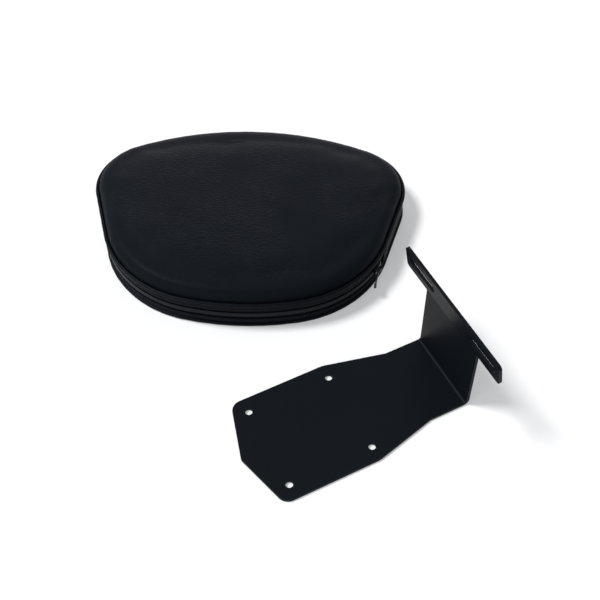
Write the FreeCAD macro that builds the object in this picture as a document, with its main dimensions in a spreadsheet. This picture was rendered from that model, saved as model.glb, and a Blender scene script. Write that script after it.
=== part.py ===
import FreeCAD, Part
import math
import os
import Sketcher
from FreeCAD import Placement, Rotation, Vector

# A motorcycle driver backrest taken apart: the folded steel bracket stands on its base plate, and the
# cushion that bolts to its slotted head lies on its back beside it. Millimetres, +Z up, floor at zero.
# The origin is the middle of the four seat bolts, on the underside of the bracket.

doc = FreeCAD.newDocument("driver_backrest")

driving_sizes = {
    # bracket, cut from one sheet and folded twice
    "sheet_thickness": 3.0,
    "base_width": 113.0,
    "hole_spacing": 84.0,
    "hole_diameter": 7.0,
    "hole_margin": 11.5,
    "nose_length": 16.0,
    "full_width_length": 96.0,
    "waist_length": 62.0,
    "neck_length": 42.0,
    "neck_width": 83.0,
    "fold_radius": 3.0,
    "upright_height": 81.0,
    "upright_lean": 1.0,
    "head_fold": 9.0,
    "head_width": 152.4,
    "head_height": 28.3,
    "slot_length": 43.0,
    "slot_width": 10.0,
    "slot_spacing": 97.5,
    "nose_radius": 6.0,
    "corner_radius": 11.0,
    "waist_radius": 25.0,
    "head_radius": 4.0,
    # cushion, seen from the front: place on the floor, then outline
    "cushion_x": 52.7,
    "cushion_y": 243.0,
    "cushion_turn": -29.0,
    "pad_width": 330.0,
    "pad_height": 244.0,
    "top_radius": 320.0,
    "shoulder_radius": 60.0,
    "side_taper": 16.5,
    "hip_radius": 118.0,
    "bottom_radius": 272.0,
    # cushion, through its thickness
    "cover_thickness": 1.2,
    "piping_diameter": 4.0,
    "front_seam_height": 32.0,
    "crown_height": 16.0,
    "crown_radius": 4000.0,
    "edge_roll": 12.0,
    "board_thickness": 9.0,
    "board_clearance": 1.8,
    "foam_clearance": 0.2,
    # tee nuts that take the bolts through the head's slots
    "nut_drop": 12.0,
    "nut_bore": 6.8,
    "nut_barrel": 10.0,
    "nut_flange": 22.0,
    "nut_flange_thickness": 1.5,
    "nut_clearance": 0.3,
    "bolt_reach": 8.0,
    # zip round the lower edge
    "zip_height": 17.0,
    "zip_opening": 12.0,
    "zip_end_drop": 34.0,
    "tape_clearance": 0.1,
    "tape_thickness": 0.6,
    "tape_width": 12.0,
    "tape_gap": 0.8,
    "tooth_pitch": 1.3,
    "tooth_length": 1.1,
    "tooth_reach": 2.2,
    "tooth_root": 3.0,
    "tooth_height": 1.5,
    "tooth_bite": 0.05,
    "tooth_lift": 0.1,
    "stop_length": 2.4,
    "stop_setback": 6.3,
    "stop_overhang": 0.6,
    "stop_gap": 0.02,
    "tab_length": 16.0,
    "tab_overlap": 2.0,
    # slider and pull
    "slider_length": 11.0,
    "slider_clearance": 0.4,
    "slider_wall": 1.1,
    "slider_stop_gap": 0.3,
    "bail_width": 2.2,
    "bail_window": 4.6,
    "bail_bar": 1.3,
    "pull_pin": 1.4,
    "pull_clearance": 0.4,
    "pull_arm": 1.2,
    "pull_length": 22.0,
    "pull_thickness": 1.4,
    "pull_bead": 2.6,
    "pull_lift": 18.0,
}

sheet = doc.addObject("Spreadsheet::Sheet", "Sizes")
for row, (alias, number) in enumerate(driving_sizes.items(), start=1):
    sheet.set(f"A{row}", alias)
    sheet.set(f"B{row}", str(number))
    sheet.setAlias(f"B{row}", alias)
doc.recompute()


def size(alias):
    return float(sheet.get(alias))


# Sketch and feature helpers

sketch_start = 50.0  # mm from the origin at which a polygon is drawn before its dimensions move it
circle_start = 10.0  # the same for a circle, and its diameter
parallel_cosine = 0.999
place_tolerance = 0.5
line_tolerance = 0.01


def origin_plane(body, role):
    return next(plane for plane in body.Origin.OriginFeatures if plane.Role == role)


def new_body(label):
    body = doc.addObject("PartDesign::Body", label)
    body.Label = label
    return body


def new_sketch(body, name, role="XY_Plane", lift=None):
    sketch = body.newObject("Sketcher::SketchObject", name)
    sketch.AttachmentSupport = (origin_plane(body, role), [""])
    sketch.MapMode = "FlatFace"
    if lift:
        sketch.setExpression("AttachmentOffset.Base.z", lift)
    return sketch


def add_dimension(sketch, expression, *definition):
    index = sketch.addConstraint(Sketcher.Constraint(*definition))
    sketch.setExpression(f"Constraints[{index}]", expression)


def add_polygon(sketch, corners):
    # each corner is a pair of expressions, measured from the sketch's origin
    count = len(corners)
    first = len(sketch.Geometry)
    turns = [2 * math.pi * k / count for k in range(count)]
    start = [Vector(math.cos(turn), math.sin(turn), 0) * sketch_start for turn in turns]
    for k in range(count):
        sketch.addGeometry(Part.LineSegment(start[k], start[(k + 1) % count]), False)
    for k, (across, along) in enumerate(corners):
        line = first + k
        sketch.addConstraint(Sketcher.Constraint("Coincident", line, 2, first + (k + 1) % count, 1))
        add_dimension(sketch, across, "DistanceX", -1, 1, line, 1, start[k].x)
        add_dimension(sketch, along, "DistanceY", -1, 1, line, 1, start[k].y)


def add_rectangle(sketch, low_x, low_y, high_x, high_y):
    add_polygon(sketch, [(low_x, low_y), (high_x, low_y), (high_x, high_y), (low_x, high_y)])


def add_circle(sketch, x, y, diameter):
    centre = Vector(circle_start, circle_start, 0)
    index = sketch.addGeometry(Part.Circle(centre, Vector(0, 0, 1), circle_start / 2), False)
    add_dimension(sketch, x, "DistanceX", -1, 1, index, 3, circle_start)
    add_dimension(sketch, y, "DistanceY", -1, 1, index, 3, circle_start)
    add_dimension(sketch, diameter, "Diameter", index, circle_start)


def add_head_slot(sketch, side):
    # round-ended slot across the head, on the side given by the sign
    radius = size("slot_width") / 2
    reach = size("slot_length") / 2 - radius
    middle = Vector(side * size("slot_spacing") / 2, size("head_height") / 2, 0)
    ends = [middle + Vector(reach, 0, 0), middle - Vector(reach, 0, 0)]
    quarter = math.pi / 2
    rise = Vector(0, radius, 0)
    right, left = (Part.Circle(end, Vector(0, 0, 1), radius) for end in ends)
    first = sketch.addGeometry(Part.ArcOfCircle(right, -quarter, quarter), False)
    sketch.addGeometry(Part.LineSegment(ends[0] + rise, ends[1] + rise), False)
    sketch.addGeometry(Part.ArcOfCircle(left, quarter, 3 * quarter), False)
    sketch.addGeometry(Part.LineSegment(ends[1] - rise, ends[0] - rise), False)
    for k in range(4):
        sketch.addConstraint(Sketcher.Constraint("Tangent", first + k, 2, first + (k + 1) % 4, 1))
    sketch.addConstraint(Sketcher.Constraint("Equal", first, first + 2))
    spread = "(Sizes.slot_length - Sizes.slot_width) / 2"
    add_dimension(sketch, "Sizes.slot_width / 2", "Radius", first, radius)
    for arc, end, sign in ((first, ends[0], "+"), (first + 2, ends[1], "-")):
        place = f"{side} * Sizes.slot_spacing / 2 {sign} {spread}"
        add_dimension(sketch, place, "DistanceX", -1, 1, arc, 3, end.x)
    add_dimension(sketch, "Sizes.head_height / 2", "DistanceY", -1, 1, first, 3, middle.y)


def add_feature(body, kind, name, sketch, length, side="One side", reverse=False):
    feature = body.newObject(f"PartDesign::{kind}", name)
    feature.Profile = sketch
    feature.SideType = side
    feature.Reversed = reverse
    feature.setExpression("Length", length)
    doc.recompute()
    return feature


def add_fillet(body, name, radius, test):
    doc.recompute()
    base = body.Tip
    edges = [f"Edge{k}" for k, edge in enumerate(base.Shape.Edges, start=1) if test(edge)]
    fillet = body.newObject("PartDesign::Fillet", name)
    fillet.Base = (base, edges)
    fillet.setExpression("Radius", radius)
    doc.recompute()
    return fillet


def runs_along(edge, direction):
    ends = [vertex.Point for vertex in edge.Vertexes]
    if len(ends) < 2 or not isinstance(edge.Curve, Part.Line):
        return False
    return abs((ends[1] - ends[0]).normalize().dot(direction)) > parallel_cosine


def near_any(point, places):
    return any((point - place).Length < place_tolerance for place in places)


# Bracket: places along its length, as expressions

front_line = "(-Sizes.hole_spacing / 2 - Sizes.hole_margin)"
nose_tip = f"({front_line} - Sizes.nose_length)"
waist_start = f"({front_line} + Sizes.full_width_length)"
waist_end = f"({waist_start} + Sizes.waist_length)"
neck_middle = f"({waist_end} + Sizes.neck_length / 2)"
fold_line = f"({waist_end} + Sizes.neck_length)"
lean = "(Sizes.upright_lean * 1 deg)"
tilt = "((Sizes.upright_lean + Sizes.head_fold) * 1 deg)"
head_foot = f"({fold_line} - Sizes.upright_height * tan({lean}))"


def base_outline(body):
    sketch = new_sketch(body, "base_outline")
    half_base, half_neck = "Sizes.base_width / 2", "Sizes.neck_width / 2"
    left_side = [(front_line, half_base), (waist_start, half_base), (waist_end, half_neck),
                 (neck_middle, half_neck)]
    right_side = [(x, f"-{y}") for x, y in left_side]
    add_polygon(sketch, [(nose_tip, "0")] + right_side + left_side[::-1])
    return sketch


def fold_profile(body):
    # side view of the folded neck: outer corners up the back, then inner corners down the front
    sketch = new_sketch(body, "fold_profile", "XZ_Plane")
    wall = "Sizes.sheet_thickness"
    head_top = (f"{head_foot} - Sizes.head_height * sin({tilt})",
                f"Sizes.upright_height + Sizes.head_height * cos({tilt})")
    mitre = f"{wall} / (1 + cos({tilt} - {lean}))"
    add_polygon(sketch, [
        (waist_end, "0"),
        (fold_line, "0"),
        (head_foot, "Sizes.upright_height"),
        head_top,
        (f"{head_top[0]} - {wall} * cos({tilt})", f"{head_top[1]} - {wall} * sin({tilt})"),
        (f"{head_foot} - {mitre} * (cos({lean}) + cos({tilt}))",
         f"Sizes.upright_height - {mitre} * (sin({lean}) + sin({tilt}))"),
        (f"{fold_line} - {wall} * cos({lean}) / (1 - sin({lean}))", wall),
        (waist_end, wall),
    ])
    return sketch


def head_sketch(body, name):
    # plane of the head's back face, with its origin in the middle of the upper fold
    sketch = new_sketch(body, name, "YZ_Plane", lift=head_foot)
    sketch.AttachmentOffset = Placement(Vector(0, 0, 0), Rotation(Vector(-1, 0, 0), 10))
    sketch.setExpression("AttachmentOffset.Base.y", "Sizes.upright_height")
    sketch.setExpression("AttachmentOffset.Rotation.Angle", tilt)
    return sketch


def build_bracket():
    body = new_body("mounting_bracket")
    across = Vector(0, 1, 0)
    upward = Vector(0, 0, 1)
    half_head, half_base = size("head_width") / 2, size("base_width") / 2

    profile = fold_profile(body)
    add_feature(body, "Pad", "folded_neck", profile, "Sizes.neck_width", "Symmetric")
    corners = [profile.getPoint(line, 1) for line in range(profile.GeometryCount)]
    side_view = [Vector(corner.x, 0, corner.y) for corner in corners]
    outer_folds, inner_folds = side_view[1:3], side_view[5:7]

    def fold_edge(edge, folds):
        middle = edge.CenterOfMass
        return runs_along(edge, across) and near_any(Vector(middle.x, 0, middle.z), folds)

    add_fillet(body, "inner_folds", "Sizes.fold_radius", lambda edge: fold_edge(edge, inner_folds))
    add_fillet(body, "outer_folds", "Sizes.fold_radius + Sizes.sheet_thickness",
               lambda edge: fold_edge(edge, outer_folds))

    outline = base_outline(body)
    add_feature(body, "Pad", "base_plate", outline, "Sizes.sheet_thickness")
    head = head_sketch(body, "head_outline")
    add_rectangle(head, "-Sizes.head_width / 2", "0", "Sizes.head_width / 2", "Sizes.head_height")
    add_feature(body, "Pad", "head_plate", head, "Sizes.sheet_thickness", reverse=True)

    through = "Sizes.sheet_thickness * 4"
    holes = new_sketch(body, "seat_holes")
    aside = ["-Sizes.hole_spacing / 2", "Sizes.hole_spacing / 2"]
    for x in aside:
        for y in aside:
            add_circle(holes, x, y, "Sizes.hole_diameter")
    add_feature(body, "Pocket", "seat_hole_cut", holes, through, "Symmetric")
    slots = head_sketch(body, "head_slots")
    for side in (-1, 1):
        add_head_slot(slots, side)
    add_feature(body, "Pocket", "head_slot_cut", slots, through, "Symmetric")

    plan = [outline.getPoint(line, 1) for line in range(outline.GeometryCount)]
    nose = [corner for corner in plan if abs(corner.y) < line_tolerance]
    widest = [corner for corner in plan if abs(abs(corner.y) - half_base) < line_tolerance]
    fronts = [corner for corner in widest if corner.x < 0]
    waists = [corner for corner in widest if corner.x > 0]

    def plan_edge(edge, places):
        middle = edge.CenterOfMass
        return runs_along(edge, upward) and near_any(Vector(middle.x, middle.y, 0), places)

    def head_end(edge):
        normal = head.Placement.Rotation.multVec(upward)
        return runs_along(edge, normal) and abs(abs(edge.CenterOfMass.y) - half_head) < line_tolerance

    add_fillet(body, "nose_rounding", "Sizes.nose_radius", lambda edge: plan_edge(edge, nose))
    add_fillet(body, "corner_rounding", "Sizes.corner_radius", lambda edge: plan_edge(edge, fronts))
    add_fillet(body, "waist_rounding", "Sizes.waist_radius", lambda edge: plan_edge(edge, waists))
    add_fillet(body, "head_rounding", "Sizes.head_radius", head_end)
    return body


# Cushion outline: a shallow top arc, shoulder arcs, tapering straight sides, hip arcs and a bottom arc

class Outline:
    def __init__(self, inset):
        taper = math.radians(size("side_taper"))
        self.top_radius = size("top_radius") - inset
        self.shoulder_radius = size("shoulder_radius") - inset
        self.hip_radius = size("hip_radius") - inset
        self.bottom_radius = size("bottom_radius") - inset
        self.top = Vector(0, size("pad_height") / 2 - size("top_radius"), 0)
        self.bottom = Vector(0, size("bottom_radius") - size("pad_height") / 2, 0)
        shoulder_x = size("pad_width") / 2 - size("shoulder_radius")
        to_shoulder = size("top_radius") - size("shoulder_radius")
        self.shoulder = Vector(shoulder_x, self.top.y + math.sqrt(to_shoulder ** 2 - shoulder_x ** 2), 0)
        self.side_normal = Vector(math.cos(taper), -math.sin(taper), 0)
        down = Vector(-math.sin(taper), -math.cos(taper), 0)
        to_hip = size("bottom_radius") - size("hip_radius")
        side_line = self.shoulder + self.side_normal * (size("shoulder_radius") - size("hip_radius"))
        reach = side_line - self.bottom
        along = -reach.dot(down) + math.sqrt(reach.dot(down) ** 2 - reach.dot(reach) + to_hip ** 2)
        self.hip = side_line + down * along
        self.side_angle = -taper
        self.shoulder_angle = math.atan2(self.shoulder.y - self.top.y, self.shoulder.x)
        self.hip_angle = math.atan2(self.hip.y - self.bottom.y, self.hip.x)

    def curves(self):
        # counter-clockwise from the right end of the top arc
        def arc(centre, radius, start, end):
            return Part.ArcOfCircle(Part.Circle(centre, Vector(0, 0, 1), radius), start, end)

        def mirrored(point):
            return Vector(-point.x, point.y, 0)

        half, full = math.pi, 2 * math.pi
        left_shoulder, left_hip = mirrored(self.shoulder), mirrored(self.hip)
        shoulder_end = self.shoulder + self.side_normal * self.shoulder_radius
        hip_end = self.hip + self.side_normal * self.hip_radius
        return [
            arc(self.top, self.top_radius, self.shoulder_angle, half - self.shoulder_angle),
            arc(left_shoulder, self.shoulder_radius, half - self.shoulder_angle, half - self.side_angle),
            Part.LineSegment(mirrored(shoulder_end), mirrored(hip_end)),
            arc(left_hip, self.hip_radius, half - self.side_angle, half - self.hip_angle),
            arc(self.bottom, self.bottom_radius, half - self.hip_angle, full + self.hip_angle),
            arc(self.hip, self.hip_radius, full + self.hip_angle, full + self.side_angle),
            Part.LineSegment(hip_end, shoulder_end),
            arc(self.shoulder, self.shoulder_radius, full + self.side_angle, full + self.shoulder_angle),
        ]

    def wire(self, height):
        wire = Part.Wire([curve.toShape() for curve in self.curves()])
        wire.translate(Vector(0, 0, height))
        return wire

    def prism(self, low, high):
        return Part.Face(self.wire(low)).extrude(Vector(0, 0, high - low))


cushion_place = Placement(Vector(size("cushion_x"), size("cushion_y"), 0),
                          Rotation(Vector(0, 0, 1), size("cushion_turn")))
piping_radius = "Sizes.piping_diameter / 2"
band_inset = piping_radius
band_inner = f"({band_inset} + Sizes.cover_thickness)"
tape_inner = f"({band_inner} + Sizes.tape_clearance + Sizes.tape_thickness)"
panel_inset = "Sizes.piping_diameter"
panel_inner = f"({panel_inset} + Sizes.cover_thickness)"
foam_inset = f"({tape_inner} + Sizes.foam_clearance)"
board_inset = f"({band_inner} + Sizes.board_clearance)"
board_top = "(Sizes.cover_thickness + Sizes.board_thickness)"
band_low = "Sizes.piping_diameter"
band_high = f"(Sizes.front_seam_height - {piping_radius})"
crown_top = "(Sizes.front_seam_height + Sizes.crown_height)"
crown_waste = 20.0  # height of the block that is turned away above the crown
split_line = "-Sizes.zip_end_drop"
zip_low = "(Sizes.zip_height - Sizes.zip_opening / 2)"
zip_high = "(Sizes.zip_height + Sizes.zip_opening / 2)"

piping_inset_value = size("piping_diameter") / 2
tape_face_value = piping_inset_value + size("cover_thickness") + size("tape_clearance")


def add_outline(sketch, inset):
    # fully constrained copy of the outline, drawn inset mm inside the piping's outer edge
    shape = Outline(0)
    curves = shape.curves()
    count = len(curves)
    for curve in curves:
        sketch.addGeometry(curve, False)
    for k in range(count):
        sketch.addConstraint(Sketcher.Constraint("Tangent", k, 2, (k + 1) % count, 1))
    top, left_shoulder, left_hip, bottom, right_hip, right_side, right_shoulder = 0, 1, 3, 4, 5, 6, 7
    for arc in (top, bottom):
        sketch.addConstraint(Sketcher.Constraint("PointOnObject", arc, 3, -2))
    for left, right in ((left_shoulder, right_shoulder), (left_hip, right_hip)):
        sketch.addConstraint(Sketcher.Constraint("Equal", left, right))
        sketch.addConstraint(Sketcher.Constraint("Horizontal", left, 3, right, 3))
    radii = [("top_radius", top), ("shoulder_radius", right_shoulder), ("hip_radius", right_hip),
             ("bottom_radius", bottom)]
    for alias, arc in radii:
        add_dimension(sketch, f"Sizes.{alias} - {inset}", "Radius", arc, size(alias))
    shoulder_out = "Sizes.pad_width / 2 - Sizes.shoulder_radius"
    top_drop = "Sizes.top_radius - Sizes.pad_height / 2"
    bottom_rise = "Sizes.bottom_radius - Sizes.pad_height / 2"
    slope = "90 deg - Sizes.side_taper * 1 deg"
    add_dimension(sketch, shoulder_out, "DistanceX", -1, 1, right_shoulder, 3, shape.shoulder.x)
    add_dimension(sketch, top_drop, "DistanceY", top, 3, -1, 1, -shape.top.y)
    add_dimension(sketch, bottom_rise, "DistanceY", -1, 1, bottom, 3, shape.bottom.y)
    add_dimension(sketch, slope, "Angle", right_side, math.pi / 2 + shape.side_angle)


def outline_feature(body, kind, name, inset, low, length):
    sketch = new_sketch(body, f"{name}_outline", lift=low)
    add_outline(sketch, inset)
    return add_feature(body, kind, name, sketch, length, reverse=(kind == "Pocket"))


def build_ring(label, outer, inner, low, high, cut_above=None, cut_below=None):
    body = new_body(label)
    outline_feature(body, "Pad", f"{label}_wall", outer, low, f"{high} - {low}")
    outline_feature(body, "Pocket", f"{label}_hollow", inner, low, f"{high} - {low}")
    if cut_above or cut_below:
        cut = new_sketch(body, f"{label}_end_lines")
        low_y, high_y = (cut_above, "Sizes.pad_height") if cut_above else ("-Sizes.pad_height", cut_below)
        add_rectangle(cut, "-Sizes.pad_width", low_y, "Sizes.pad_width", high_y)
        add_feature(body, "Pocket", f"{label}_ends", cut, "Sizes.pad_height", "Symmetric")
    body.Placement = cushion_place
    return body


def add_crown(body, name, foot_inset, foot, top, roll):
    # domed block with a rolled upper edge
    outline_feature(body, "Pad", f"{name}_block", foot_inset, foot, f"{top} - {foot} + {crown_waste} / 2")
    dome = new_sketch(body, f"{name}_dome", "XZ_Plane")
    reach = size("pad_width")
    peak = size("front_seam_height") + size("crown_height")
    radius = size("crown_radius")
    low = peak + math.sqrt(radius ** 2 - reach ** 2) - radius
    arc = dome.addGeometry(Part.ArcOfCircle(
        Part.Circle(Vector(0, peak - radius, 0), Vector(0, 0, 1), radius),
        math.acos(reach / radius), math.pi / 2), False)
    corners = [Vector(0, peak, 0), Vector(0, peak + crown_waste, 0), Vector(reach, peak + crown_waste, 0),
               Vector(reach, low, 0)]
    side, lid, rim = (dome.addGeometry(Part.LineSegment(start, end), False)
                      for start, end in zip(corners, corners[1:]))
    for first, second in ((arc, side), (side, lid), (lid, rim), (rim, arc)):
        dome.addConstraint(Sketcher.Constraint("Coincident", first, 2, second, 1))
    dome.addConstraint(Sketcher.Constraint("PointOnObject", arc, 3, -2))
    dome.addConstraint(Sketcher.Constraint("PointOnObject", side, 1, -2))
    dome.addConstraint(Sketcher.Constraint("Vertical", side))
    dome.addConstraint(Sketcher.Constraint("Horizontal", lid))
    dome.addConstraint(Sketcher.Constraint("Vertical", rim))
    add_dimension(dome, "Sizes.crown_radius", "Radius", arc, radius)
    add_dimension(dome, top, "DistanceY", -1, 1, side, 1, peak)
    add_dimension(dome, "Sizes.pad_width", "DistanceX", -1, 1, rim, 1, reach)
    add_dimension(dome, f"{top} + {crown_waste}", "DistanceY", -1, 1, rim, 1, peak + crown_waste)
    doc.recompute()
    groove = body.newObject("PartDesign::Groove", f"{name}_crown")
    groove.Profile = dome
    groove.ReferenceAxis = (dome, ["V_Axis"])
    groove.Angle = 360
    doc.recompute()
    dome_face = max(groove.Shape.Faces, key=lambda face: face.CenterOfMass.z)
    add_fillet(body, f"{name}_roll", roll, lambda edge: any(edge.isSame(rim) for rim in dome_face.Edges))


def nut_places():
    return [(f"{side}Sizes.slot_spacing / 2", "-Sizes.nut_drop") for side in ("-", "")]


def add_round_cut(body, name, diameter, low, depth):
    sketch = new_sketch(body, name, lift=low)
    for x, y in nut_places():
        add_circle(sketch, x, y, diameter)
    return add_feature(body, "Pocket", f"{name}_cut", sketch, depth, reverse=True)


def build_foam():
    body = new_body("foam_core")
    outline_feature(body, "Pad", "foam_block", foam_inset, board_top, f"{band_high} - {board_top}")
    add_crown(body, "foam", panel_inner, band_high, f"({crown_top} - Sizes.cover_thickness)",
              "Sizes.edge_roll - Sizes.cover_thickness")
    flange_room = "(Sizes.nut_flange + 2 * Sizes.nut_clearance)"
    flange_depth = "Sizes.nut_flange_thickness + Sizes.nut_clearance"
    bolt_depth = "Sizes.nut_flange_thickness + Sizes.bolt_reach"
    add_round_cut(body, "flange_seat", flange_room, board_top, flange_depth)
    add_round_cut(body, "bolt_room", "Sizes.nut_barrel", board_top, bolt_depth)
    body.Placement = cushion_place
    return body


def build_front_panel(foam):
    block = new_body("front_panel_block")
    add_crown(block, "panel", panel_inset, "Sizes.front_seam_height", crown_top, "Sizes.edge_roll")
    block.Placement = cushion_place
    panel = doc.addObject("Part::Cut", "front_panel")
    panel.Base = block
    panel.Tool = foam
    doc.recompute()
    return panel


def build_back_panel():
    body = new_body("back_panel")
    outline_feature(body, "Pad", "back_sheet", panel_inset, "0", "Sizes.cover_thickness")
    add_round_cut(body, "bolt_holes", "Sizes.nut_barrel", "0", "Sizes.cover_thickness")
    body.Placement = cushion_place
    return body


def build_board():
    body = new_body("backing_board")
    foot, thickness = "Sizes.cover_thickness", "Sizes.board_thickness"
    outline_feature(body, "Pad", "board_sheet", board_inset, foot, thickness)
    add_round_cut(body, "nut_holes", "Sizes.nut_barrel", foot, thickness)
    body.Placement = cushion_place
    return body


def build_nut(label, side):
    # turned section: a barrel through the board and a flange on its foam side
    body = new_body(label)
    section = new_sketch(body, f"{label}_section", "XZ_Plane")
    bore, barrel, flange = "Sizes.nut_bore / 2", "Sizes.nut_barrel / 2", "Sizes.nut_flange / 2"
    flange_top = f"{board_top} + Sizes.nut_flange_thickness"
    add_polygon(section, [
        (bore, "Sizes.cover_thickness"), (barrel, "Sizes.cover_thickness"), (barrel, board_top),
        (flange, board_top), (flange, flange_top), (bore, flange_top)])
    doc.recompute()
    turned = body.newObject("PartDesign::Revolution", f"{label}_turned")
    turned.Profile = section
    turned.ReferenceAxis = (section, ["V_Axis"])
    turned.Angle = 360
    doc.recompute()
    body.Placement = cushion_place * Placement(
        Vector(side * size("slot_spacing") / 2, -size("nut_drop"), 0), Rotation())
    return body


def build_piping(label, height):
    outline = Outline(piping_inset_value)
    path = outline.wire(height)
    start = path.Edges[0].valueAt(path.Edges[0].FirstParameter)
    tangent = path.Edges[0].tangentAt(path.Edges[0].FirstParameter)
    section = Part.Wire(Part.Circle(start, tangent, piping_inset_value).toShape())
    piping = doc.addObject("Part::Feature", label)
    piping.Shape = path.makePipeShell([section], True, False)
    piping.Placement = cushion_place
    return piping


# Zip: frames along its run, with X outwards, Y towards the right-hand end and Z through the thickness

def zip_frame(distance, inset):
    outline = Outline(inset)
    hip_sweep = outline.side_angle - outline.hip_angle
    hip_run = hip_sweep * outline.hip_radius
    bottom_sweep = math.pi + 2 * outline.hip_angle
    bottom_run = bottom_sweep * outline.bottom_radius
    mirrored_hip = Vector(-outline.hip.x, outline.hip.y, 0)
    if distance < hip_run:
        centre, radius = outline.hip, outline.hip_radius
        angle = outline.side_angle - distance / outline.hip_radius
    elif distance < hip_run + bottom_run:
        centre, radius = outline.bottom, outline.bottom_radius
        angle = outline.hip_angle - (distance - hip_run) / outline.bottom_radius
    else:
        centre, radius = mirrored_hip, outline.hip_radius
        angle = -math.pi - outline.hip_angle - (distance - hip_run - bottom_run) / outline.hip_radius
    outward = Vector(math.cos(angle), math.sin(angle), 0)
    place = centre + outward * radius + Vector(0, 0, size("zip_height"))
    return Placement(place, Rotation(Vector(0, 0, 1), math.degrees(angle)))


def zip_run(inset):
    outline = Outline(inset)
    hip_run = (outline.side_angle - outline.hip_angle) * outline.hip_radius
    return 2 * hip_run + (math.pi + 2 * outline.hip_angle) * outline.bottom_radius


def stop_distance():
    # the stop stands clear of the tab's lower edge, which is cut level across the cushion
    outline = Outline(tape_face_value)
    tab_edge = -size("zip_end_drop") - size("tab_length") / 2
    angle = math.asin((tab_edge - outline.hip.y) / outline.hip_radius)
    tab_run = (outline.side_angle - angle) * outline.hip_radius
    return tab_run + size("stop_setback") + size("stop_length") / 2


def tooth_section(side):
    # the root stands on its own tape and the head reaches over the other one
    root, reach, height = size("tooth_root"), size("tooth_reach"), size("tooth_height")
    sink, rise, own = size("tooth_bite"), size("tooth_lift"), size("tape_gap") / 2
    corners = [(-sink, own), (-sink, root), (height, root), (height, -reach), (rise, -reach), (rise, own)]
    half = size("tooth_length") / 2
    points = [Vector(x, -half, side * z) for x, z in corners]
    face = Part.Face(Part.makePolygon(points + points[:1]))
    return face.extrude(Vector(0, 2 * half, 0))


def build_stringer(label, side):
    centre, gap, width = size("zip_height"), size("tape_gap") / 2, size("tape_width")
    low, high = sorted((centre + side * gap, centre + side * (gap + width - gap)))
    tape_inner_value = tape_face_value + size("tape_thickness")
    ring = Outline(tape_face_value).prism(low, high).cut(Outline(tape_inner_value).prism(low, high))
    keep = Part.makeBox(2 * size("pad_width"), size("pad_height"), high - low,
                        Vector(-size("pad_width"), -size("zip_end_drop") - size("pad_height"), low))
    tape = ring.common(keep)
    pitch = size("tooth_pitch")
    first = stop_distance() + size("stop_length") / 2 + pitch
    last = zip_run(tape_face_value) - first
    count = int((last - first) / pitch)
    tooth = tooth_section(side)
    teeth = []
    for k in range(0 if side > 0 else 1, count + 1, 2):
        copy = tooth.copy()
        copy.Placement = zip_frame(first + k * pitch, tape_face_value)
        teeth.append(copy)
    stringer = doc.addObject("Part::Feature", label)
    stringer.Shape = tape.multiFuse(teeth).Solids[0]
    stringer.Placement = cushion_place
    return stringer


def build_stop(label, distance):
    stop = doc.addObject("Part::Box", label)
    stop.setExpression("Length", "Sizes.tooth_height + Sizes.stop_overhang")
    stop.setExpression("Width", "Sizes.stop_length")
    stop.setExpression("Height", "2 * (Sizes.tooth_root + Sizes.stop_overhang)")
    corner = Vector(size("stop_gap"), -size("stop_length") / 2, -size("tooth_root") - size("stop_overhang"))
    stop.Placement = cushion_place * zip_frame(distance, tape_face_value) * Placement(corner, Rotation())
    return stop


def build_tab(label, side):
    # folded vinyl tab laid over the zip's end, half on the upper band and half on the zip
    half_height = size("zip_opening") / 2 + size("tab_overlap")
    low, high = size("zip_height") - half_height, size("zip_height") + half_height
    outer = piping_inset_value - size("cover_thickness")
    ring = Outline(outer).prism(low, high).cut(Outline(piping_inset_value).prism(low, high))
    length = size("tab_length")
    middle = -size("zip_end_drop")
    corner = Vector(0 if side > 0 else -size("pad_width"), middle - length / 2, low)
    keep = Part.makeBox(size("pad_width"), length, high - low, corner)
    tab = doc.addObject("Part::Feature", label)
    tab.Shape = ring.common(keep).Solids[0]
    tab.Placement = cushion_place
    return tab


# Slider: a channel over the teeth with a bail on its back, at rest against the right-hand stop

plate_low = "(Sizes.tooth_height + Sizes.slider_clearance)"
plate_high = f"({plate_low} + Sizes.slider_wall)"
channel_half = "(Sizes.tooth_root + Sizes.slider_clearance)"
slider_half = f"({channel_half} + Sizes.slider_wall)"
window_high = f"({plate_high} + Sizes.pull_pin + Sizes.pull_clearance)"
bail_high = f"({window_high} + Sizes.bail_bar)"


def slider_place():
    distance = stop_distance() + (size("stop_length") + size("slider_length")) / 2 + size("slider_stop_gap")
    return cushion_place * zip_frame(distance, tape_face_value)


def build_slider():
    body = new_body("zip_slider")
    channel = new_sketch(body, "slider_channel", "XZ_Plane")
    lip = "Sizes.slider_clearance"
    upper = [(lip, slider_half), (lip, channel_half), (plate_low, channel_half)]
    lower = [(x, f"-{z}") for x, z in upper]
    add_polygon(channel, lower + upper[::-1] + [(plate_high, slider_half), (plate_high, f"-{slider_half}")])
    add_feature(body, "Pad", "slider_body", channel, "Sizes.slider_length", "Symmetric")
    ends = Vector(1, 0, 0)
    corner_length = 2 * size("slider_wall")
    add_fillet(body, "slider_rounding", "Sizes.slider_wall * 2",
               lambda edge: runs_along(edge, ends) and edge.Length > corner_length)
    bail = new_sketch(body, "bail_side")
    half_window, bar = "Sizes.bail_window / 2", "Sizes.bail_bar"
    sink = f"({plate_high} - Sizes.slider_wall / 2)"
    add_polygon(bail, [
        (sink, f"-{half_window} - {bar}"), (bail_high, f"-{half_window}"), (bail_high, half_window),
        (sink, f"{half_window} + {bar}"), (sink, half_window), (window_high, f"{half_window} - {bar} / 2"),
        (window_high, f"-{half_window} + {bar} / 2"), (sink, f"-{half_window}")])
    add_feature(body, "Pad", "bail", bail, "Sizes.bail_width", "Symmetric")
    body.Placement = slider_place()
    return body


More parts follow.
